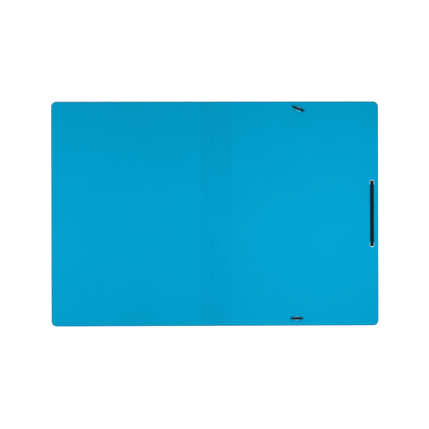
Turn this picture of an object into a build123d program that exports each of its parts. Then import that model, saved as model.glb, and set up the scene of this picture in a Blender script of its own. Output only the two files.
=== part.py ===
from build123d import *
from math import hypot
import os

os.makedirs("parts", exist_ok=True)

# A folio folder that lies open and flat, inner faces up, in millimetres.
# X runs across the two covers, Y along the spine, Z up from the table.
# The front cover is on the left and the back cover, with the elastic, on the right.

# Sheet, cut and creased from one piece of polypropylene
height = 340.0
front_width = 227.4
back_width = 224.6
sheet_thickness = 0.8
corner_radius = 8.0
strip_count = 10
crease_pitch = 4.35
crease_width = 1.6
crease_depth = 0.35

# Four rolled eyelets in the back cover, the two at the ends of the elastic smaller
fore_bore_radius = 2.3
fore_head_radius = 4.0
fore_roll_radius = 3.8
end_bore_radius = 1.9
end_head_radius = 3.2
end_roll_radius = 3.0
barrel_wall = 0.3
barrel_clearance = 0.05
lip_height = 0.45
fore_eyelet_inset = 9.8
fore_eyelet_from_end = 122.8
end_eyelet_inset = 11.2
upper_end_from_fore_edge = 121.3
lower_end_from_fore_edge = 124.2

# Flat elastic, gathered where it passes through an eyelet
band_width = 5.6
band_thickness = 0.8
fore_gathered_width = 4.2
end_gathered_width = 3.4
gather_length = 2.3
band_bend = 0.7
band_gap = 0.1
middle_length = 30.0

# Moulded bars that stop the two ends of the elastic
bar_length = 19.4
bar_width = 3.2
bar_height = 2.2
bar_rounding = 0.8
bar_seat_gap = 0.1
upper_bar_turn = -22.0
lower_bar_turn = 0.0
band_end_radius = 1.2
band_end_depth = 1.2
swivel_clearance = 0.05

# Levels above the table, from the elastic under the cover to the bars on top
leg_top = band_thickness
sheet_low = leg_top + band_gap + lip_height
sheet_top = sheet_low + sheet_thickness
web_top = sheet_top - crease_depth
hole_middle = sheet_low + sheet_thickness / 2
lip_top = sheet_top + lip_height
run_low = lip_top + band_gap
bar_low = lip_top + bar_seat_gap

# Places across and along the sheet, from the middle of its outline
open_width = front_width + strip_count * crease_pitch + back_width
fore_edge = open_width / 2
first_crease = front_width - open_width / 2
fore_eyelet_x = fore_edge - fore_eyelet_inset
fore_eyelet_y = height / 2 - fore_eyelet_from_end
end_eyelet_y = height / 2 - end_eyelet_inset
eyelets = {
    "eyelet_upper_end": (fore_edge - upper_end_from_fore_edge, end_eyelet_y),
    "eyelet_upper_fore": (fore_eyelet_x, fore_eyelet_y),
    "eyelet_lower_fore": (fore_eyelet_x, -fore_eyelet_y),
    "eyelet_lower_end": (fore_edge - lower_end_from_fore_edge, -end_eyelet_y),
}
fore_radii = (fore_bore_radius, fore_head_radius, fore_roll_radius)
end_radii = (end_bore_radius, end_head_radius, end_roll_radius)
eyelet_radii = {
    "eyelet_upper_end": end_radii,
    "eyelet_upper_fore": fore_radii,
    "eyelet_lower_fore": fore_radii,
    "eyelet_lower_end": end_radii,
}


def upright(x, y, along=(1, 0)):
    # A vertical plane through a point of the sheet, its local X along the given direction
    return Plane(origin=(x, y, 0), x_dir=(*along, 0), z_dir=(along[1], -along[0], 0))


def level_plane(start, along):
    # The table's plane, with its origin under a point and its local X along a direction
    return Plane(origin=(*start, 0), x_dir=(*along, 0), z_dir=(0, 0, 1))


def finish(piece, name):
    piece.part.label = name
    export_step(piece.part, f"parts/{name}.step")


def sheet_profile(left, right, creased_left=True, creased_right=True):
    # A length of the sheet seen from its end, bevelled down to the web at each crease
    left_bevel = crease_width / 2 if creased_left else 0
    right_bevel = crease_width / 2 if creased_right else 0
    outline = [(left, sheet_low), (right, sheet_low)]
    if creased_right:
        outline.append((right, web_top))
    outline.append((right - right_bevel, sheet_top))
    outline.append((left + left_bevel, sheet_top))
    if creased_left:
        outline.append((left, web_top))
    Polyline(*outline, close=True)


# Front cover: plain, with two rounded corners at its fore edge
with BuildPart() as front_cover:
    with BuildSketch(Plane.XZ):
        with BuildLine():
            sheet_profile(-fore_edge, first_crease, creased_left=False)
        make_face()
    extrude(amount=height / 2, both=True)
    outer_corners = front_cover.edges().filter_by(Axis.Z).group_by(Axis.X)[0]
    fillet(outer_corners, radius=corner_radius)
finish(front_cover, "front_cover")

# Spine: narrow strips between creases, so that it curves as the folder closes
for number in range(strip_count):
    strip_left = first_crease + number * crease_pitch
    with BuildPart() as spine_strip:
        with BuildSketch(Plane.XZ):
            with BuildLine():
                sheet_profile(strip_left, strip_left + crease_pitch)
            make_face()
        extrude(amount=height / 2, both=True)
    finish(spine_strip, f"spine_strip_{number + 1}")

# Back cover: the same outline, with a hole for each eyelet
with BuildPart() as back_cover:
    with BuildSketch(Plane.XZ):
        with BuildLine():
            sheet_profile(fore_edge - back_width, fore_edge, creased_right=False)
        make_face()
    extrude(amount=height / 2, both=True)
    outer_corners = back_cover.edges().filter_by(Axis.Z).group_by(Axis.X)[-1]
    fillet(outer_corners, radius=corner_radius)
    with BuildSketch(Plane.XY.offset(sheet_low)):
        for name, place in eyelets.items():
            with Locations(place):
                Circle(eyelet_radii[name][0] + barrel_wall + barrel_clearance)
    extrude(amount=sheet_thickness, mode=Mode.SUBTRACT)
finish(back_cover, "back_cover")

# Eyelets: a barrel with a domed head on the inner face and a rolled lip outside
for name, (x, y) in eyelets.items():
    bore_radius, head_radius, roll_radius = eyelet_radii[name]
    head_middle = (bore_radius + head_radius) / 2
    roll_middle = (bore_radius + roll_radius) / 2
    barrel_radius = bore_radius + barrel_wall
    with BuildPart() as eyelet:
        with BuildSketch(upright(x, y)):
            with BuildLine():
                ThreePointArc(
                    (head_radius, sheet_top), (head_middle, lip_top), (bore_radius, sheet_top)
                )
                Line((bore_radius, sheet_top), (bore_radius, sheet_low))
                ThreePointArc(
                    (bore_radius, sheet_low),
                    (roll_middle, sheet_low - lip_height),
                    (roll_radius, sheet_low),
                )
                Polyline(
                    (roll_radius, sheet_low),
                    (barrel_radius, sheet_low),
                    (barrel_radius, sheet_top),
                    (head_radius, sheet_top),
                )
            make_face()
        revolve(axis=Axis((x, y, 0), (0, 0, 1)))
    finish(eyelet, name)


def bent_strip(far_face, length, turned):
    # The elastic seen edge-on: it leaves the hole, bends and then lies level.
    # far_face is the level of its face away from the sheet, turned is 1 where the hole is above.
    outer_bend = band_bend + band_thickness
    near_face = far_face + turned * band_thickness
    bend_x = band_thickness / 2 + band_bend
    bend_z = near_face + turned * band_bend
    with BuildSketch() as strip:
        with BuildLine():
            CenterArc((bend_x, bend_z), band_bend, 180, 90 * turned)
            CenterArc((bend_x, bend_z), outer_bend, 180, 90 * turned)
            Polyline(
                (band_thickness / 2, bend_z),
                (band_thickness / 2, hole_middle),
                (-band_thickness / 2, hole_middle),
                (-band_thickness / 2, bend_z),
            )
            Polyline((bend_x, near_face), (length, near_face), (length, far_face), (bend_x, far_face))
        make_face()
    return strip.sketch


def gathered_outline(length, bore, gathered_width):
    # The elastic seen from above: narrow within the bore, then its full width
    narrow = gathered_width / 2
    wide = band_width / 2
    spread = bore + gather_length
    with BuildSketch() as outline:
        with BuildLine():
            Polyline(
                (-bore, narrow),
                (bore, narrow),
                (spread, wide),
                (length, wide),
                (length, -wide),
                (spread, -wide),
                (bore, -narrow),
                (-bore, -narrow),
                close=True,
            )
        make_face()
    return outline.sketch


def band_stretch(start, along, far_face, length, turned, bore, gathered_width):
    # One stretch of elastic, from the hole at start to its level end
    with BuildPart() as stretch:
        with BuildSketch(upright(*start, along)):
            add(bent_strip(far_face, length, turned))
        extrude(amount=band_width, both=True)
        with BuildSketch(level_plane(start, along)):
            add(gathered_outline(length, bore, gathered_width))
        extrude(amount=run_low + band_thickness, mode=Mode.INTERSECT)
    return stretch.part


# Inner run, between the two fore-edge eyelets on top of the back cover
upper_fore = eyelets["eyelet_upper_fore"]
run_top = run_low + band_thickness
fore_fit = (fore_bore_radius, fore_gathered_width)
end_fit = (end_bore_radius, end_gathered_width)
upper_half = band_stretch(upper_fore, (0, -1), run_top, fore_eyelet_y, -1, *fore_fit)
with BuildPart() as band_inner_run:
    add(upper_half)
    mirror(about=Plane.XZ)
finish(band_inner_run, "band_inner_run")

# Corner spans under the back cover, each in two legs and a middle that is pulled
for side, bar_turn in (("upper", upper_bar_turn), ("lower", lower_bar_turn)):
    end_eyelet = eyelets[f"eyelet_{side}_end"]
    fore_eyelet = eyelets[f"eyelet_{side}_fore"]
    across = fore_eyelet[0] - end_eyelet[0]
    down = fore_eyelet[1] - end_eyelet[1]
    span = hypot(across, down)
    along = (across / span, down / span)
    back_along = (-along[0], -along[1])
    leg_length = (span - middle_length) / 2

    leg_from_end = band_stretch(end_eyelet, along, 0, leg_length, 1, *end_fit)
    with BuildPart() as end_leg:
        add(leg_from_end)
        with BuildSketch(Plane.XY.offset(hole_middle)):
            with Locations(end_eyelet):
                Circle(band_end_radius)
        extrude(amount=bar_low + band_end_depth - hole_middle)
    finish(end_leg, f"band_{side}_end_leg")

    leg_from_fore = band_stretch(fore_eyelet, back_along, 0, leg_length, 1, *fore_fit)
    with BuildPart() as fore_leg:
        add(leg_from_fore)
    finish(fore_leg, f"band_{side}_fore_leg")

    with BuildPart() as corner_middle:
        with BuildSketch(level_plane(end_eyelet, along)):
            with Locations((span / 2, 0)):
                Rectangle(middle_length, band_width)
        extrude(amount=band_thickness)
    finish(corner_middle, f"band_{side}_corner_middle")

    # Bar across the end eyelet, with a socket that turns on the end of the elastic
    with BuildPart() as end_bar:
        with BuildSketch(Plane.XY.offset(bar_low)):
            with Locations(end_eyelet):
                SlotOverall(bar_length, bar_width, rotation=bar_turn)
        extrude(amount=bar_height)
        fillet(end_bar.edges().group_by(Axis.Z)[-1], radius=bar_rounding)
        with BuildSketch(Plane.XY.offset(bar_low)):
            with Locations(end_eyelet):
                Circle(band_end_radius + swivel_clearance)
        extrude(amount=band_end_depth + swivel_clearance, mode=Mode.SUBTRACT)
    finish(end_bar, f"end_bar_{side}")
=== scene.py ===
import math

import bmesh
import bpy
from mathutils import Matrix, Vector


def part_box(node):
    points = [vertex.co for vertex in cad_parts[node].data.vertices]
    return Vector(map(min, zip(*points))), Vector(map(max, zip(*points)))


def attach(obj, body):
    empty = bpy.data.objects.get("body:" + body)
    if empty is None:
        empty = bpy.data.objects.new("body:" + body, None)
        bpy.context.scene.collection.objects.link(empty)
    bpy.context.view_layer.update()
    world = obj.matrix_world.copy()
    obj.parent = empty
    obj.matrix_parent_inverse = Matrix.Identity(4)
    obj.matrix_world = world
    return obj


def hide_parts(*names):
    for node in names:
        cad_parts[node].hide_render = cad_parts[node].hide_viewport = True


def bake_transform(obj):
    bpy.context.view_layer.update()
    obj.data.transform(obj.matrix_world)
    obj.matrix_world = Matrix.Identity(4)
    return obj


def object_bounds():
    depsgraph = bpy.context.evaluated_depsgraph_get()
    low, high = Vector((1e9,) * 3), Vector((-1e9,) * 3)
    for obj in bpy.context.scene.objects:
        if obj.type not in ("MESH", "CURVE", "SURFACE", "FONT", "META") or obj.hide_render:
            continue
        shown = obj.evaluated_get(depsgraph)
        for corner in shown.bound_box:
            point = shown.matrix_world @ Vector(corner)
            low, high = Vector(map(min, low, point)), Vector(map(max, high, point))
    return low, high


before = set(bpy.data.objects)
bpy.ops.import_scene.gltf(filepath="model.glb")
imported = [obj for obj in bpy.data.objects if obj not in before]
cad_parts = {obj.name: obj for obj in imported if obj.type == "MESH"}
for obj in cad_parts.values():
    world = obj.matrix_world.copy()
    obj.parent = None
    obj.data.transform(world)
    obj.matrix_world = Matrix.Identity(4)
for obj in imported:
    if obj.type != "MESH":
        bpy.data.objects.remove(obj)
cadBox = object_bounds()
mm = 0.001
touching = 1e-6      # points nearer than this are taken as one
merging = 1e-7       # a finer measure, for cuts and spins
up = Vector((0, 0, 1))
print("frame loaded, CAD box", [round(v / mm, 1) for v in (*cadBox[0], *cadBox[1])])


# Node helpers

def addNode(tree, kind, inputs=None, **settings):
    made = tree.nodes.new(kind)
    for name, value in settings.items():
        setattr(made, name, value)
    for name, value in (inputs or {}).items():
        made.inputs[name].default_value = value
    return made


def mathNode(tree, operation, first, second=None):
    made = addNode(tree, "ShaderNodeMath", operation=operation)
    for socket, value in zip(made.inputs, (first, second)):
        if isinstance(value, bpy.types.NodeSocket):
            tree.links.new(value, socket)
        elif value is not None:
            socket.default_value = value
    return made.outputs["Value"]


def remap(tree, value, low, high, toLow, toHigh):
    made = addNode(tree, "ShaderNodeMapRange",
                   {"From Min": low, "From Max": high, "To Min": toLow, "To Max": toHigh})
    tree.links.new(value, made.inputs["Value"])
    return made.outputs["Result"]


def blendColours(tree, mask, first, second):
    made = addNode(tree, "ShaderNodeMix", data_type="RGBA")
    for socket, value in ((made.inputs[6], first), (made.inputs[7], second)):
        if isinstance(value, bpy.types.NodeSocket):
            tree.links.new(value, socket)
        else:
            socket.default_value = (*value, 1)
    tree.links.new(mask, made.inputs[0])
    return made.outputs[2]


def readAttribute(tree, name):
    return addNode(tree, "ShaderNodeAttribute", attribute_name=name).outputs["Fac"]


def objectCoordinates(tree):
    return addNode(tree, "ShaderNodeTexCoord").outputs["Object"]


def newGroup(name, inputs, outputs):
    group = bpy.data.node_groups.new(name, "ShaderNodeTree")
    for label, kind, value in inputs:
        socket = group.interface.new_socket(label, in_out="INPUT", socket_type=kind)
        if value is not None:
            socket.default_value = value
    for label, kind in outputs:
        group.interface.new_socket(label, in_out="OUTPUT", socket_type=kind)
    return group, group.nodes.new("NodeGroupInput"), group.nodes.new("NodeGroupOutput")


def buildGrainGroup():
    # Fine surface grain: a height for bump, and slow patches for gloss and colour
    group, given, result = newGroup(
        "surfaceGrain",
        [("Coordinates", "NodeSocketVector", None), ("Grain Size", "NodeSocketFloat", 0.4),
         ("Patch Size", "NodeSocketFloat", 40.0)],
        [("Height", "NodeSocketFloat"), ("Patches", "NodeSocketFloat")])
    for size, output, detail in (("Grain Size", "Height", 3.0), ("Patch Size", "Patches", 4.0)):
        scale = mathNode(group, "DIVIDE", 1 / mm, given.outputs[size])
        texture = addNode(group, "ShaderNodeTexNoise", {"Detail": detail, "Roughness": 0.6})
        group.links.new(given.outputs["Coordinates"], texture.inputs["Vector"])
        group.links.new(scale, texture.inputs["Scale"])
        group.links.new(texture.outputs["Fac"], result.inputs[output])
    return group


grainGroup = buildGrainGroup()


def startMaterial(name, **fixed):
    material = bpy.data.materials.new(name)
    material.use_nodes = True
    tree = material.node_tree
    shader = tree.nodes["Principled BSDF"]
    for label, value in fixed.items():
        shader.inputs[label.replace("_", " ")].default_value = value
    return material, tree, shader


def addBump(tree, shader, height, depth, strength):
    bump = addNode(tree, "ShaderNodeBump", {"Distance": depth, "Strength": strength})
    tree.links.new(height, bump.inputs["Height"])
    tree.links.new(bump.outputs["Normal"], shader.inputs["Normal"])


def addGrain(tree, shader, look):
    # Bump and gloss from the grain, and the colour of its patches, which it gives back.
    # Sizes are in millimetres, bump is a depth and a strength, roughness a range.
    grain = addNode(tree, "ShaderNodeGroup", node_tree=grainGroup)
    grain.inputs["Grain Size"].default_value = look["grainSize"]
    grain.inputs["Patch Size"].default_value = look["patchSize"]
    tree.links.new(objectCoordinates(tree), grain.inputs["Coordinates"])
    noiseRange = (0.3, 0.7)    # where nearly all of it lies
    gloss = remap(tree, grain.outputs["Patches"], *noiseRange, *look["roughness"])
    tree.links.new(gloss, shader.inputs["Roughness"])
    addBump(tree, shader, grain.outputs["Height"], *look["bump"])
    patches = remap(tree, grain.outputs["Patches"], *look["patchRange"], 0.0, 1.0)
    return blendColours(tree, patches, look["deep"], look["pale"])


# Mesh helpers

def addPiece(name, bm, material, node):
    mesh = bpy.data.meshes.new(name)
    bm.to_mesh(mesh)
    bm.free()
    mesh.materials.append(material)
    mesh.shade_smooth()
    piece = bpy.data.objects.new(name, mesh)
    bpy.context.scene.collection.objects.link(piece)
    if node:
        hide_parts(node)
    return piece


def nodeCorners(node):
    return [Vector(corner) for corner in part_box(node)]


def nodeMiddle(node):
    low, high = nodeCorners(node)
    return (low + high) / 2


def moveTo(bm, place):
    bmesh.ops.translate(bm, vec=place, verts=bm.verts)


def newVerts(result):
    return [item for item in result["geom"] if isinstance(item, bmesh.types.BMVert)]


def bevelEdges(bm, edges, width, steps):
    bmesh.ops.bevel(bm, geom=edges, offset=width, offset_type="OFFSET", segments=steps,
                    profile=0.5, affect="EDGES", material=-1, clamp_overlap=True)


def keepFlatsEven(piece):
    evened = piece.modifiers.new("evenShading", "WEIGHTED_NORMAL")
    evened.keep_sharp = True


def easeIn(value):
    value = min(max(value, 0.0), 1.0)
    return value * value * (3 - 2 * value)


# Heights of the sheet's outer and inner face
sheetLow, sheetTop = (corner.z for corner in nodeCorners("back_cover"))


# Eyelets: a domed head on the inner face, a barrel, and a lip rolled over outside

eyelet = {
    "fore": {"bore": 2.3 * mm, "head": 4.0 * mm, "roll": 3.8 * mm, "hole": 2.65 * mm},
    "end": {"bore": 1.9 * mm, "head": 3.2 * mm, "roll": 3.0 * mm, "hole": 2.25 * mm},
    "turns": 72,
    "arcSteps": 10,
    "petals": 8,             # splits that the punch leaves in the rolled lip
    "splitDepth": 0.16 * mm,
    "splitSharpness": 24,
    "boreShade": (0.2, 0.7),    # from the crest to the bore, over which painted shade darkens it
}
eyeletNodes = ["eyelet_upper_end", "eyelet_upper_fore", "eyelet_lower_fore", "eyelet_lower_end"]


def eyeletSize(node):
    return eyelet[node.split("_")[-1]]


def makeNickelMaterial():
    look = {
        # Nickel's pale grey with a painted cyan reflection of the blue sheet in it
        "deep": (0.30, 0.76, 0.88),
        "pale": (0.38, 0.82, 0.93),
        # Painted shade on the inner slope, darkest at the bore where the hole is dark
        "boreShade": (0.03, 0.05, 0.07),
        "grainSize": 0.25,
        "patchSize": 3.0,
        "patchRange": (0.3, 0.7),
        "roughness": (0.20, 0.32),
        "bump": (0.01 * mm, 0.4),
    }
    material, tree, shader = startMaterial("nickelPlate", Metallic=1.0)
    colour = addGrain(tree, shader, look)
    colour = blendColours(tree, readAttribute(tree, "inside"), colour, look["boreShade"])
    tree.links.new(colour, shader.inputs["Base Color"])
    return material


def arcPoints(middle, radiusAcross, radiusUp, start, end, steps):
    # Part of an ellipse, between two angles in degrees
    for step in range(steps + 1):
        turn = math.radians(start + (end - start) * step / steps)
        yield middle[0] + radiusAcross * math.cos(turn), middle[1] + radiusUp * math.sin(turn)


def buildEyelet(node):
    low, high = nodeCorners(node)
    size, steps = eyeletSize(node), eyelet["arcSteps"]
    headSpan, rollSpan = ((size[part] - size["bore"]) / 2 for part in ("head", "roll"))
    crest = size["bore"] + headSpan
    head = arcPoints((crest, sheetTop), headSpan, high.z - sheetTop, 0, 180, steps)
    roll = arcPoints((size["bore"] + rollSpan, sheetLow), rollSpan, sheetLow - low.z, 180, 360, steps)
    bm = bmesh.new()
    verts = [bm.verts.new((x, 0, z)) for x, z in (*head, *roll)]
    for first, second in zip(verts, verts[1:] + verts[:1]):
        bm.edges.new((first, second))
    bmesh.ops.spin(bm, geom=bm.verts[:] + bm.edges[:], cent=(0, 0, 0), axis=up,
                   angle=math.tau, steps=eyelet["turns"], use_merge=True)
    bmesh.ops.remove_doubles(bm, verts=bm.verts, dist=merging)
    inside = bm.verts.layers.float.new("inside")
    shadeStart, shadeEnd = eyelet["boreShade"]
    for vert in bm.verts:
        inwards = (crest - vert.co.xy.length) / headSpan
        vert[inside] = min(max((inwards - shadeStart) / (shadeEnd - shadeStart), 0.0), 1.0)
        if vert.co.z < sheetLow - touching:
            turn = math.atan2(vert.co.y, vert.co.x)
            split = max(0.0, math.cos(eyelet["petals"] * turn)) ** eyelet["splitSharpness"]
            vert.co.z += split * min(eyelet["splitDepth"], sheetLow - vert.co.z)
    bmesh.ops.recalc_face_normals(bm, faces=bm.faces)
    middle = nodeMiddle(node)
    moveTo(bm, (middle.x, middle.y, 0))
    return bm


# Sheet: two covers and the strips of the spine, cut from one polypropylene sheet

sheet = {
    "cornerRadius": 8.0 * mm,
    "cornerSteps": 14,
    "cutRound": 0.22 * mm,      # rounding of the cut edges
    "cutSteps": 4,
    "grooveHalf": 0.8 * mm,     # half the width of a crease, on the inner face
    "grooveDepth": 0.35 * mm,
    "shoulder": 0.45 * mm,      # how far the edge of a crease is rounded
    "shoulderSteps": 4,
    "backRound": 0.08 * mm,     # rounding behind a crease, on the outer face
    "backSteps": 2,
    "holeSteps": 48,
    "webHalf": 0.55 * mm,       # half the width of a crease's bendy floor
    "webInset": 0.012 * mm,
    "webCuts": 11,
    "parting": 0.004 * mm,      # from the middle of a crease to the pieces beside it
}


def rimMask(tree, half, corner, width):
    # 1 on the outline of the open sheet, a rounded rectangle, falling to 0 at width inside it; it
    # places the painted rim shade
    parts = addNode(tree, "ShaderNodeSeparateXYZ")
    tree.links.new(objectCoordinates(tree), parts.inputs["Vector"])
    offset = [mathNode(tree, "ABSOLUTE", parts.outputs[axis]) for axis in "XY"]
    past = [mathNode(tree, "SUBTRACT", value, reach - corner) for value, reach in zip(offset, half)]
    squares = [mathNode(tree, "POWER", mathNode(tree, "MAXIMUM", value, 0.0), 2.0) for value in past]
    rounded = mathNode(tree, "SQRT", mathNode(tree, "ADD", *squares))
    straight = mathNode(tree, "MINIMUM", mathNode(tree, "MAXIMUM", *past), 0.0)
    distance = mathNode(tree, "SUBTRACT", mathNode(tree, "ADD", rounded, straight), corner)
    return remap(tree, distance, -width, 0.0, 0.0, 1.0)


def makeSheetMaterial():
    look = {
        "deep": (0.0, 0.350, 0.610),
        "pale": (0.0, 0.358, 0.622),
        # Painted shade in the crease floors, a darker blue than the sheet
        "creaseFloor": (0.0, 0.335, 0.595),
        # Painted shade along the outline of the sheet, fading inwards over the width below
        "cut": (0.0, 0.205, 0.365),
        "cutWidth": 2.2 * mm,
        "grainSize": 0.35,
        "patchSize": 60.0,
        "patchRange": (0.35, 0.65),
        "roughness": (0.42, 0.54),
        "bump": (0.03 * mm, 0.9),
        "shineFrom": 0.05,       # slant of the view from which the sheet starts to shine
        "shine": 0.35,
    }
    material, tree, shader = startMaterial(
        "polypropyleneSheet", Specular_IOR_Level=0.015, Coat_Roughness=0.3)
    colour = addGrain(tree, shader, look)
    colour = blendColours(tree, readAttribute(tree, "crease"), colour, look["creaseFloor"])
    rim = rimMask(tree, cadBox[1][:2], sheet["cornerRadius"], look["cutWidth"])
    colour = blendColours(tree, rim, colour, look["cut"])
    tree.links.new(colour, shader.inputs["Base Color"])
    slant = addNode(tree, "ShaderNodeLayerWeight", {"Blend": 0.5}).outputs["Facing"]
    coat = remap(tree, slant, look["shineFrom"], 1.0, 0.0, look["shine"])
    tree.links.new(coat, shader.inputs["Coat Weight"])
    return material


def longEdges(bm, x, z):
    return [e for e in bm.edges if all(
        abs(v.co.x - x) < touching and abs(v.co.z - z) < touching for v in e.verts)]


def pressCrease(bm, x, inward, low, high):
    # Bevel the inner face down to the web at x, and round the bevel's upper edge
    shoulderX = x + inward * sheet["grooveHalf"]
    bmesh.ops.bisect_plane(bm, geom=bm.verts[:] + bm.edges[:] + bm.faces[:], dist=merging,
                           plane_co=(shoulderX, 0, 0), plane_no=(1, 0, 0))
    creaseFloor = {v for e in longEdges(bm, x, high.z) for v in e.verts}
    bmesh.ops.translate(bm, vec=(0, 0, -sheet["grooveDepth"]), verts=list(creaseFloor))
    bevelEdges(bm, longEdges(bm, shoulderX, high.z), sheet["shoulder"], sheet["shoulderSteps"])
    bevelEdges(bm, longEdges(bm, x, low.z), sheet["backRound"], sheet["backSteps"])


def rimEdges(bm, creases=()):
    # Edges where the upper or lower side meets an upright cut, but not those of a crease
    bm.normal_update()

    def isSide(face):
        return abs(face.normal.z) > 0.5

    def isCut(face):
        middleX = face.calc_center_median().x
        return abs(face.normal.z) < 0.01 and all(abs(middleX - x) > touching for x in creases)

    return [e for e in bm.edges if len(e.link_faces) == 2
            and sum(map(isSide, e.link_faces)) == 1 and sum(map(isCut, e.link_faces)) == 1]


def markCreases(bm, creases):
    # 1 at the bottom of a crease, 0 from its upper edge on; this places the painted crease shade
    layer = bm.verts.layers.float.new("crease")
    for vert in bm.verts:
        nearest = min(abs(vert.co.x - x) for x in creases)
        vert[layer] = max(0.0, 1 - nearest / sheet["grooveHalf"])


def buildCover(node, outerSide, holes):
    # outerSide is -1 or 1, the side of its fore edge; holes are middles and radii
    low, high = nodeCorners(node)
    if outerSide > 0:
        low.x += sheet["parting"]
    else:
        high.x -= sheet["parting"]
    outerX, creaseX = (high.x, low.x) if outerSide > 0 else (low.x, high.x)
    size, middle = high - low, (low + high) / 2
    bm = bmesh.new()
    bmesh.ops.create_grid(bm, x_segments=1, y_segments=1, size=0.5)
    bmesh.ops.scale(bm, vec=(size.x, size.y, 1), verts=bm.verts)
    moveTo(bm, (middle.x, middle.y, low.z))
    outerCorners = [v for v in bm.verts if abs(v.co.x - outerX) < touching]
    bmesh.ops.bevel(bm, geom=outerCorners, offset=sheet["cornerRadius"], offset_type="OFFSET",
                    segments=sheet["cornerSteps"], profile=0.5, affect="VERTICES", material=-1)
    bmesh.ops.delete(bm, geom=bm.faces[:], context="FACES_ONLY")
    for holeMiddle, radius in holes:
        place = Matrix.Translation((holeMiddle.x, holeMiddle.y, low.z))
        bmesh.ops.create_circle(bm, segments=sheet["holeSteps"], radius=radius, matrix=place)
    bmesh.ops.triangle_fill(bm, edges=bm.edges[:], use_beauty=True)
    upper = newVerts(bmesh.ops.extrude_face_region(bm, geom=bm.faces[:]))
    bmesh.ops.translate(bm, vec=(0, 0, size.z), verts=upper)
    bmesh.ops.recalc_face_normals(bm, faces=bm.faces)
    pressCrease(bm, creaseX, outerSide, low, high)
    bevelEdges(bm, rimEdges(bm, [creaseX]), sheet["cutRound"], sheet["cutSteps"])
    markCreases(bm, [creaseX])
    return bm


def buildStrip(node):
    low, high = nodeCorners(node)
    low.x += sheet["parting"]
    high.x -= sheet["parting"]
    bm = bmesh.new()
    bmesh.ops.create_cube(bm, size=1.0)
    bmesh.ops.scale(bm, vec=high - low, verts=bm.verts)
    moveTo(bm, (low + high) / 2)
    creases = [low.x, high.x]
    for x, inward in zip(creases, (1, -1)):
        pressCrease(bm, x, inward, low, high)
    bevelEdges(bm, rimEdges(bm, creases), sheet["cutRound"], sheet["cutSteps"])
    markCreases(bm, creases)
    return bm


def buildWeb(x, low, webTop):
    # The thin bendy floor of a crease, just inside the two pieces that it joins.
    # It ends a little short of the sheet's cut edges, past their rounding.
    width, inset = 2 * sheet["webHalf"], sheet["webInset"]
    length = -2 * low.y - 4 * sheet["cutRound"]
    bm = bmesh.new()
    bmesh.ops.create_cube(bm, size=1.0)
    bmesh.ops.scale(bm, vec=(width, length, webTop - low.z - 2 * inset), verts=bm.verts)
    moveTo(bm, (x, 0, (low.z + webTop) / 2))
    crossing = [e for e in bm.edges if abs(e.verts[0].co.x - e.verts[1].co.x) > width / 2]
    bmesh.ops.subdivide_edges(bm, edges=crossing, cuts=sheet["webCuts"], use_grid_fill=True)
    # The whole web takes the painted crease shade
    layer = bm.verts.layers.float.new("crease")
    for vert in bm.verts:
        vert[layer] = 1.0
    return bm


sheetMaterial = makeSheetMaterial()
stripNodes = [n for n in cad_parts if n.startswith("spine_strip")]
frontCover = addPiece("frontCoverSheet", buildCover("front_cover", -1, []),
                      sheetMaterial, "front_cover")
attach(frontCover, "front_cover")
backHoles = [(nodeMiddle(n), eyeletSize(n)["hole"]) for n in eyeletNodes]
backCover = addPiece("backCoverSheet", buildCover("back_cover", 1, backHoles),
                     sheetMaterial, "back_cover")
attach(backCover, "back_cover")
for cover in (frontCover, backCover):
    keepFlatsEven(cover)
for node in stripNodes:
    strip = addPiece("spineStrip" + node.split("_")[-1], buildStrip(node),
                     sheetMaterial, node)
    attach(strip, node)
    keepFlatsEven(strip)
for number in range(len(stripNodes) + 1):
    right = f"spine_strip_{number + 1}" if number < len(stripNodes) else "back_cover"
    low = nodeCorners(right)[0]
    web = addPiece(f"creaseWeb{number + 1}", buildWeb(low.x, low, sheetTop - sheet["grooveDepth"]),
                   sheetMaterial, None)
    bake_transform(web)
print("sheet made:", len(stripNodes), "spine strips and two covers")


nickelMaterial = makeNickelMaterial()
for node in eyeletNodes:
    words = node.split("_")
    ring = addPiece("eyelet" + words[1].title() + words[2].title(), buildEyelet(node),
                    nickelMaterial, node)
    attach(ring, "back_cover")
print("eyelets made")


# Elastic: one flat woven band, laid along its route in stretches

band = {
    "width": 5.4 * mm,
    "thickness": 0.8 * mm,
    "flatRoundness": 5.0,          # how square its edges are
    "cords": 7,
    "cordRelief": 0.07 * mm,
    "cordFullness": 0.7,
    "reliefFades": 3.0,            # how fast the cords flatten out at the edges
    "stepAlong": 0.6 * mm,
    "stepsAcross": 42,
    "foreGathered": 4.46 * mm,     # width where it is gathered in an eyelet
    "endGathered": 3.4 * mm,
    "gatherStart": 1.6 * mm,       # from the eyelet's middle
    "gatherEnd": 4.8 * mm,
    "tipRadius": 2.27 * mm,        # fills a fore-edge eyelet
    "foldedThickness": 1.0 * mm,
    "foldedUntil": (0.8 * mm, 2.3 * mm),
    "slopeReach": 2.9 * mm,        # level from here on, past the eyelet's lip
    "runPast": 2.14 * mm,          # how far the inner run goes on past the middle of the eyelet
    "legPast": 0.6 * mm,
    "bend": 1.1 * mm,              # radius of the band's middle under an end eyelet
    "endCrowding": 1.6,            # draws the steps of an end leg towards its eyelet
    "endRadius": 1.15 * mm,        # rolled round in the bar's socket
    "socketDepth": 1.2 * mm,
    "plugRadius": 1.76 * mm,       # bunched up in an end eyelet, under the bar
    "plugFrom": 1.28 * mm,         # from its very end, in the bar's socket
    "plugRound": 0.2 * mm,
    "plugUntil": 1.95 * mm,
    "plugFades": 2.7 * mm,
    "cornerMiddle": 30.0 * mm,     # the part of a corner span that slides
}


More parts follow.
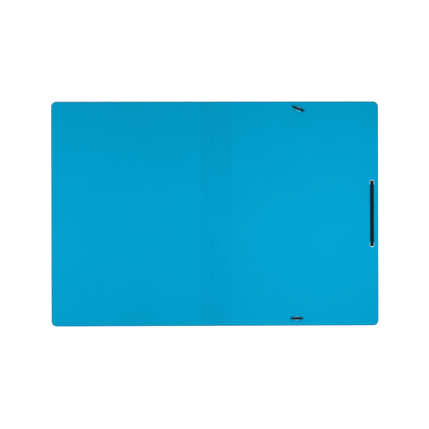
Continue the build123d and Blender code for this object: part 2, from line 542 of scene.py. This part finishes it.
def makeElasticMaterial():
    # Lengthwise cords and crosswise threads, from the band's own measures in millimetres
    look = {
        # Near-black band with a painted teal cast, the blue light that the sheet throws on it
        "thread": (0.002, 0.024, 0.030),
        # Painted shade between the cords and threads, darker than their crests
        "gapShade": (0.0, 0.006, 0.008),
        "cordPitch": 0.77,
        "threadPitch": 0.55,
        "roughness": (0.95, 0.7),
        "bump": (0.12 * mm, 0.8),
    }
    material, tree, shader = startMaterial(
        "wovenElastic", Specular_IOR_Level=0.10, Sheen_Weight=0.04, Sheen_Roughness=0.5)
    along = readAttribute(tree, "along")
    across = readAttribute(tree, "across")
    cordTurn = mathNode(tree, "MULTIPLY", across, math.tau / look["cordPitch"])
    cords = remap(tree, mathNode(tree, "COSINE", cordTurn), -1.0, 1.0, 0.0, 1.0)
    threadTurn = mathNode(tree, "MULTIPLY", along, math.tau / look["threadPitch"])
    cordNumber = mathNode(tree, "FLOOR", mathNode(tree, "DIVIDE", across, look["cordPitch"]))
    shift = mathNode(tree, "MULTIPLY", cordNumber, math.pi)
    threadWave = mathNode(tree, "SINE", mathNode(tree, "ADD", threadTurn, shift))
    threads = remap(tree, threadWave, -1.0, 1.0, 0.0, 1.0)
    weave = mathNode(tree, "MULTIPLY", mathNode(tree, "POWER", cords, 0.5), threads)
    colour = blendColours(tree, weave, look["gapShade"], look["thread"])
    tree.links.new(colour, shader.inputs["Base Color"])
    gloss = remap(tree, weave, 0.0, 1.0, *look["roughness"])
    tree.links.new(gloss, shader.inputs["Roughness"])
    addBump(tree, shader, weave, *look["bump"])
    return material


def followKeys(distance, keys):
    # An eased value between (distance, value) pairs
    for (start, value), (end, nextValue) in zip(keys, keys[1:]):
        if distance < end:
            return value + (nextValue - value) * easeIn((distance - start) / (end - start))
    return keys[-1][1]


def layBand(length, route, shape, crowded=1.0):
    # A flat strip whose points are then moved onto the route: along it, across it, and off its
    # middle face. Above 1, crowded draws them towards the start.
    bm = bmesh.new()
    count = max(2, round(length / band["stepAlong"]))
    bmesh.ops.create_grid(bm, x_segments=count, y_segments=band["stepsAcross"], size=0.5)
    upper = newVerts(bmesh.ops.extrude_face_region(bm, geom=bm.faces[:]))
    bmesh.ops.translate(bm, vec=up, verts=upper)
    alongLayer = bm.verts.layers.float.new("along")
    acrossLayer = bm.verts.layers.float.new("across")
    for vert in bm.verts:
        distance = max(vert.co.x + 0.5, 0.0) ** crowded * length
        side = vert.co.y * 2           # -1 to 1 across the band
        face = 1 if vert.co.z > 0.5 else -1
        width, thickness, roundness = shape(distance)
        swell = max(0.0, 1 - abs(side) ** roundness) ** (1 / roundness)
        cord = abs(math.cos(math.pi * band["cords"] * side / 2)) ** band["cordFullness"]
        relief = band["cordRelief"] * (cord - 1) * min(1.0, band["reliefFades"] * swell)
        off = face * max(0.0, thickness / 2 * swell + relief)
        point, sideways, outwards = route(distance)
        vert.co = point + sideways * (side * width / 2) + outwards * off
        vert[alongLayer] = distance / mm
        vert[acrossLayer] = side * band["width"] / 2 / mm
    bmesh.ops.remove_doubles(bm, verts=bm.verts, dist=touching)
    bmesh.ops.recalc_face_normals(bm, faces=bm.faces)
    return bm


# Heights of the band's middle: in a hole, under the cover and above it
holeLevel = (sheetLow + sheetTop) / 2
spanLevel = band["thickness"] / 2
runLevel = nodeCorners("band_inner_run")[1].z - band["thickness"] / 2
socketTop = nodeCorners("end_bar_upper")[0].z + band["socketDepth"]


# A route gives, at a distance along the band, its middle, the direction across it
# and the direction that its face looks in

def straightRoute(start, along):
    # Level, under the cover
    sideways = up.cross(along)

    def route(distance):
        return start + along * distance + up * spanLevel, sideways, -up

    return route


def bentRoute(start, along):
    # From a bar's socket down the middle of a hole at start, round a bend, then under the cover.
    # Also gives how much longer this is than a straight way from the hole's middle.
    sideways = up.cross(along)
    bend = band["bend"]
    upright = socketTop - spanLevel - bend
    quarter = bend * math.pi / 2

    def route(distance):
        if distance < upright:
            return start + up * (socketTop - distance), sideways, -along
        if distance < upright + quarter:
            turn = (distance - upright) / bend
            outwards = -along * math.cos(turn) - up * math.sin(turn)
            centre = start + along * bend + up * (spanLevel + bend)
            return centre + outwards * bend, sideways, outwards
        out = bend + distance - upright - quarter
        return start + along * out + up * spanLevel, sideways, -up

    return route, upright + quarter - bend


def slopedRoute(start, along, level, past):
    # It starts past the middle of a hole at start, and slopes through it up or down to level
    sideways = up.cross(along)
    reach = band["slopeReach"]
    farLevel = 2 * holeLevel - level

    def route(distance):
        out = distance - past
        part = min(max((out + reach) / (2 * reach), 0.0), 1.0)
        height = farLevel + (level - farLevel) * easeIn(part)
        slope = (level - farLevel) * 6 * part * (1 - part) / (2 * reach)
        return start + along * out + up * height, sideways, (up - along * slope).normalized()

    return route


# A shape gives the band's width, thickness and squareness at a distance

def flatShape(distance):
    return band["width"], band["thickness"], band["flatRoundness"]


def gatheredShape(past):
    # Narrow and thick where it fills a fore-edge eyelet, flat beyond it
    foldedStart, foldedEnd = band["foldedUntil"]
    widths = ((band["gatherStart"], band["foreGathered"]), (band["gatherEnd"], band["width"]))
    thicknesses = ((foldedStart, band["foldedThickness"]), (foldedEnd, band["thickness"]))

    def shape(distance):
        out = distance - past
        width = followKeys(out, widths)
        if out < 0:
            width = min(width, 2 * math.sqrt(band["tipRadius"] ** 2 - out ** 2))
        return width, followKeys(out, thicknesses), band["flatRoundness"]

    return shape


def endShape(extra):
    # Rolled round in the bar's socket, bunched up in the end eyelet, flat beyond it.
    # extra is what the bent way adds before the eyelet's middle.
    socket, plug = 2 * band["endRadius"], 2 * band["plugRadius"]
    plugFull = band["plugFrom"] + band["plugRound"]
    bunched = ((band["plugFrom"], socket), (plugFull, plug), (band["plugUntil"], plug))
    widths = (*bunched, (band["plugFades"], band["endGathered"]),
              (extra + band["gatherStart"], band["endGathered"]),
              (extra + band["gatherEnd"], band["width"]))
    thicknesses = (*bunched, (band["plugFades"], band["foldedThickness"]),
                   (extra + band["bend"] / 2, band["thickness"]))
    roundnesses = ((band["plugUntil"], 2.0), (band["plugFades"], band["flatRoundness"]))

    def shape(distance):
        return tuple(followKeys(distance, keys) for keys in (widths, thicknesses, roundnesses))

    return shape


def footOf(node):
    # The middle of a node, at the height of the table
    return nodeMiddle(node).xy.to_3d()


def buildInnerRun():
    upper, lower = footOf("eyelet_upper_fore"), footOf("eyelet_lower_fore")
    past = band["runPast"]
    whole = (upper - lower).length + 2 * past
    upperRoute = slopedRoute(upper, (lower - upper).normalized(), runLevel, past)
    upperShape = gatheredShape(past)

    def route(distance):
        if distance <= whole / 2:
            return upperRoute(distance)
        point, sideways, outwards = upperRoute(whole - distance)
        point.y = upper.y + lower.y - point.y
        return point, sideways, Vector((outwards.x, -outwards.y, outwards.z))

    def shape(distance):
        return upperShape(min(distance, whole - distance))

    return layBand(whole, route, shape)


elasticMaterial = makeElasticMaterial()
innerRun = addPiece("elasticInnerRun", buildInnerRun(), elasticMaterial, "band_inner_run")
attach(innerRun, "back_cover")

for side in ("upper", "lower"):
    title = side.title()
    endEyelet = footOf(f"eyelet_{side}_end")
    foreEyelet = footOf(f"eyelet_{side}_fore")
    span = foreEyelet - endEyelet
    along = span.normalized()
    legLength = (span.length - band["cornerMiddle"]) / 2

    route, extra = bentRoute(endEyelet, along)
    bm = layBand(legLength + extra, route, endShape(extra), band["endCrowding"])
    endLeg = addPiece(f"elastic{title}EndLeg", bm,
                      elasticMaterial, f"band_{side}_end_leg")
    past = band["legPast"]
    route = slopedRoute(foreEyelet, -along, spanLevel, past)
    bm = layBand(legLength + past, route, gatheredShape(past))
    foreLeg = addPiece(f"elastic{title}ForeLeg", bm,
                       elasticMaterial, f"band_{side}_fore_leg")
    for leg, eyeletPoint, way in ((endLeg, endEyelet, along), (foreLeg, foreEyelet, -along)):
        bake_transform(leg)

    route = straightRoute(endEyelet + along * legLength, along)
    bm = layBand(band["cornerMiddle"], route, flatShape)
    middle = addPiece(f"elastic{title}Corner", bm,
                      elasticMaterial, f"band_{side}_corner_middle")
    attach(middle, f"{side}_corner_elastic")
print("elastic made")


# End bars: moulded nylon, a little narrower towards their ends

bar = {
    "length": 19.4 * mm,
    "width": 3.2 * mm,
    "endWidth": 2.7 * mm,        # before its ends are rounded
    "endRound": 0.98,            # of half its width
    "endSteps": 8,
    "rounds": ((1, 0.8 * mm, 6), (-1, 0.2 * mm, 3)),    # top and foot: side, width, steps
    "cuts": 24,
    "turns": {"upper": -22.0, "lower": 0.0},
}


def makeNylonMaterial():
    look = {
        "deep": (0.001, 0.015, 0.028),
        "pale": (0.003, 0.022, 0.040),
        "grainSize": 0.3,
        "patchSize": 5.0,
        "patchRange": (0.3, 0.7),
        "roughness": (0.34, 0.48),
        "bump": (0.015 * mm, 0.5),
    }
    material, tree, shader = startMaterial("blackNylon", Specular_IOR_Level=0.15)
    tree.links.new(addGrain(tree, shader, look), shader.inputs["Base Color"])
    return material


def buildBar(node, turn):
    low, high = nodeCorners(node)
    bm = bmesh.new()
    bmesh.ops.create_cube(bm, size=1.0)
    bmesh.ops.scale(bm, vec=(bar["length"], bar["width"], high.z - low.z), verts=bm.verts)
    upright = [e for e in bm.edges if abs(e.verts[0].co.z - e.verts[1].co.z) > touching]
    bevelEdges(bm, upright, bar["width"] / 2 * bar["endRound"], bar["endSteps"])
    for side, width, steps in bar["rounds"]:
        bevelEdges(bm, [e for e in rimEdges(bm) if e.verts[0].co.z * side > 0], width, steps)
    longWays = [e for e in bm.edges
                if abs(e.verts[0].co.x - e.verts[1].co.x) > bar["length"] / 2]
    bmesh.ops.subdivide_edges(bm, edges=longWays, cuts=bar["cuts"], use_grid_fill=True)
    for vert in bm.verts:
        out = abs(vert.co.x) / (bar["length"] / 2)
        vert.co.y *= 1 - (1 - bar["endWidth"] / bar["width"]) * easeIn(out)
    turned = Matrix.Rotation(math.radians(turn), 3, "Z")
    bmesh.ops.rotate(bm, cent=(0, 0, 0), matrix=turned, verts=bm.verts)
    moveTo(bm, nodeMiddle(node))
    bmesh.ops.recalc_face_normals(bm, faces=bm.faces)
    return bm


nylonMaterial = makeNylonMaterial()
for side in ("upper", "lower"):
    node = f"end_bar_{side}"
    endBar = addPiece(f"endBar{side.title()}", buildBar(node, bar["turns"][side]),
                      nylonMaterial, node)
    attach(endBar, node)
    keepFlatsEven(endBar)
print("end bars made")


# Stage, light and camera

def makeStage():
    # It glows for the camera and in reflections alone, so that it looks white without
    # lighting the folder from below
    look = {"reach": 4.0, "grey": 0.90, "roughness": 0.9, "specular": 0.1, "glow": 0.55}
    bm = bmesh.new()
    bmesh.ops.create_grid(bm, x_segments=1, y_segments=1, size=look["reach"])
    mesh = bpy.data.meshes.new("tableTop")
    bm.to_mesh(mesh)
    bm.free()
    table = bpy.data.objects.new("tableTop", mesh)
    bpy.context.scene.collection.objects.link(table)
    material, tree, shader = startMaterial(
        "whiteTable", Base_Color=(look["grey"],) * 3 + (1,), Roughness=look["roughness"],
        Specular_IOR_Level=look["specular"], Emission_Color=(1, 1, 1, 1))
    rays = addNode(tree, "ShaderNodeLightPath")
    seen = mathNode(tree, "MAXIMUM", rays.outputs["Is Camera Ray"], rays.outputs["Is Glossy Ray"])
    seen = mathNode(tree, "MAXIMUM", seen, rays.outputs["Is Transmission Ray"])
    glow = mathNode(tree, "MULTIPLY", seen, look["glow"])
    tree.links.new(glow, shader.inputs["Emission Strength"])
    table.data.materials.append(material)


def makeWorld():
    # White where the camera looks past the floor, and a studio that is dimmer overhead elsewhere
    level = {"overhead": 0.50, "around": 1.0}
    world = bpy.data.worlds.new("paleStudio")
    bpy.context.scene.world = world
    world.use_nodes = True
    tree = world.node_tree
    background = tree.nodes["Background"]
    background.inputs["Color"].default_value = (1, 1, 1, 1)
    view = addNode(tree, "ShaderNodeTexCoord").outputs["Generated"]
    direction = addNode(tree, "ShaderNodeSeparateXYZ")
    tree.links.new(view, direction.inputs["Vector"])
    studio = remap(tree, direction.outputs["Z"], 0.0, 1.0, level["around"], level["overhead"])
    rays = addNode(tree, "ShaderNodeLightPath")
    strength = mathNode(tree, "MAXIMUM", studio, rays.outputs["Is Camera Ray"])
    tree.links.new(strength, background.inputs["Strength"])


# Three soft pools of light, which give the sheet its slow change of tone.
# Cones are in degrees, powers in watts.
spotSize = 0.10
spots = {
    "lowerRightSpot": {"place": (0.4545, -0.5417, 0.7071), "target": (-0.099, 0.350, 0),
                       "cone": 67.2, "power": 12.6},
    "upperRightSpot": {"place": (0.6124, 0.3536, 0.7071), "target": (0.036, -0.217, 0),
                       "cone": 48.4, "power": 7.7},
    "leftSpot": {"place": (-0.6645, -0.2418, 0.7071), "target": (-0.422, -0.040, 0),
                 "cone": 47.8, "power": 7.5},
}


def addSpot(name, place, target, cone, power):
    lamp = bpy.data.lights.new(name, "SPOT")
    lamp.spot_size = math.radians(cone)
    lamp.spot_blend = 1.0
    lamp.shadow_soft_size = spotSize
    lamp.energy = power
    made = bpy.data.objects.new(name, lamp)
    made.location = place
    aim = Vector(target) - Vector(place)
    made.rotation_euler = aim.to_track_quat("-Z", "Y").to_euler()
    bpy.context.scene.collection.objects.link(made)


def addCamera():
    view = {
        "distance": 2.2,
        "frameWidth": 0.6503,      # what it sees of the table
        "sensor": 36.0,
        "aim": (-0.0010, -0.0010, 0.0),
        "lean": 1.1,               # degrees by which it stands off to the front cover's side
        "roll": -0.14,
        "nearest": 0.01,
    }
    data = bpy.data.cameras.new("overhead")
    data.sensor_width = view["sensor"]
    data.lens = view["sensor"] * view["distance"] / view["frameWidth"]
    data.clip_start = view["nearest"]
    camera = bpy.data.objects.new("overhead", data)
    lean = math.radians(view["lean"])
    away = Vector((-math.sin(lean), 0, math.cos(lean)))
    camera.location = Vector(view["aim"]) + away * view["distance"]
    camera.rotation_mode = "XYZ"
    camera.rotation_euler = (0, -lean, math.radians(view["roll"]))
    bpy.context.scene.collection.objects.link(camera)
    bpy.context.scene.camera = camera


makeStage()
makeWorld()
for name, spot in spots.items():
    addSpot(name, **spot)
addCamera()
bpy.context.scene.view_settings.view_transform = "Standard"
print("stage, light and camera set")
